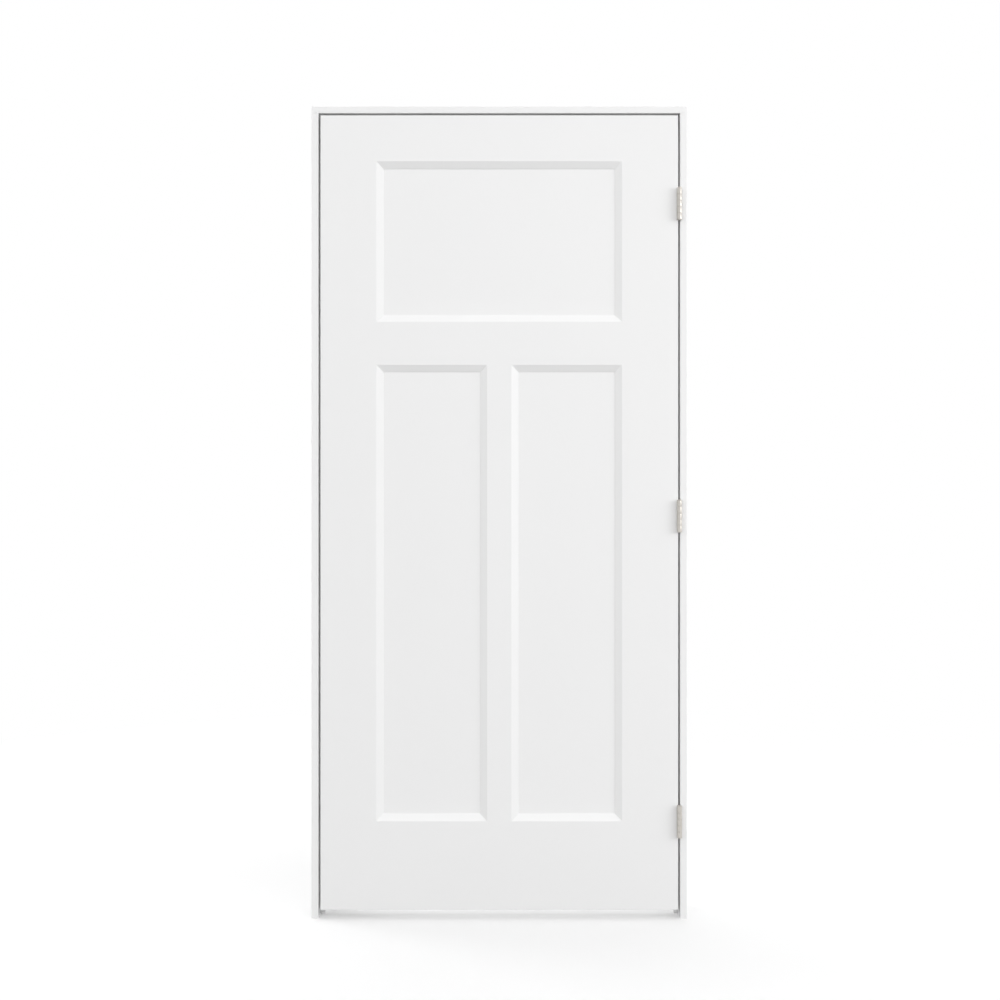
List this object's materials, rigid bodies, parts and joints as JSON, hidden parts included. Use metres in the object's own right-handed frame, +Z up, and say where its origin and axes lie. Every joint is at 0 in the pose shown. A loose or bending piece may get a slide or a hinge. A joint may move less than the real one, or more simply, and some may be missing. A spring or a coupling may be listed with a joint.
{
  "type": "prehung interior door with three moulded panels",
  "caption": "Prehung interior door: moulded panel slab on butt hinges in a flat jamb frame with applied stops, ready to set in a rough opening.",
  "frame": {"origin": "the foot of the hinge jamb, on its wall-side face, midway through the depth of the jamb", "axes": "+Z up the doorway, -Y towards the opening side with the hinge barrels, +X from the latch side to the hinge side"},
  "size_m": [0.96, 0.1302, 2.0762],
  "materials": {
    "primed_moulded_facing": "satin",
    "primed_frame_wood": "satin",
    "primed_edge_wood": "matte",
    "core_board": "matte",
    "satin_nickel": "satin"
  },
  "bodies": {
    "frame": {"hinge_jamb": "primed_frame_wood", "latch_jamb": "primed_frame_wood", "head_jamb": "primed_frame_wood", "hinge_jamb_stop": "primed_frame_wood", "latch_jamb_stop": "primed_frame_wood", "head_jamb_stop": "primed_frame_wood", "top_hinge_jamb_leaf": "satin_nickel", "middle_hinge_jamb_leaf": "satin_nickel", "bottom_hinge_jamb_leaf": "satin_nickel", "top_hinge_pin": "satin_nickel", "middle_hinge_pin": "satin_nickel", "bottom_hinge_pin": "satin_nickel"},
    "door": {"front_facing": "primed_moulded_facing", "back_facing": "primed_moulded_facing", "hinge_stile": "primed_edge_wood", "latch_stile": "primed_edge_wood", "top_rail": "primed_edge_wood", "bottom_rail": "primed_edge_wood", "core": "core_board", "top_hinge_door_leaf": "satin_nickel", "middle_hinge_door_leaf": "satin_nickel", "bottom_hinge_door_leaf": "satin_nickel"}
  },
  "joints": [
    {"name": "door_swing", "type": "hinge", "parent": "frame", "child": "door", "pos_m": [-0.0201, -0.066, 0], "axis": [0, 0, 1], "range_deg": [0, 180]}
  ]
}
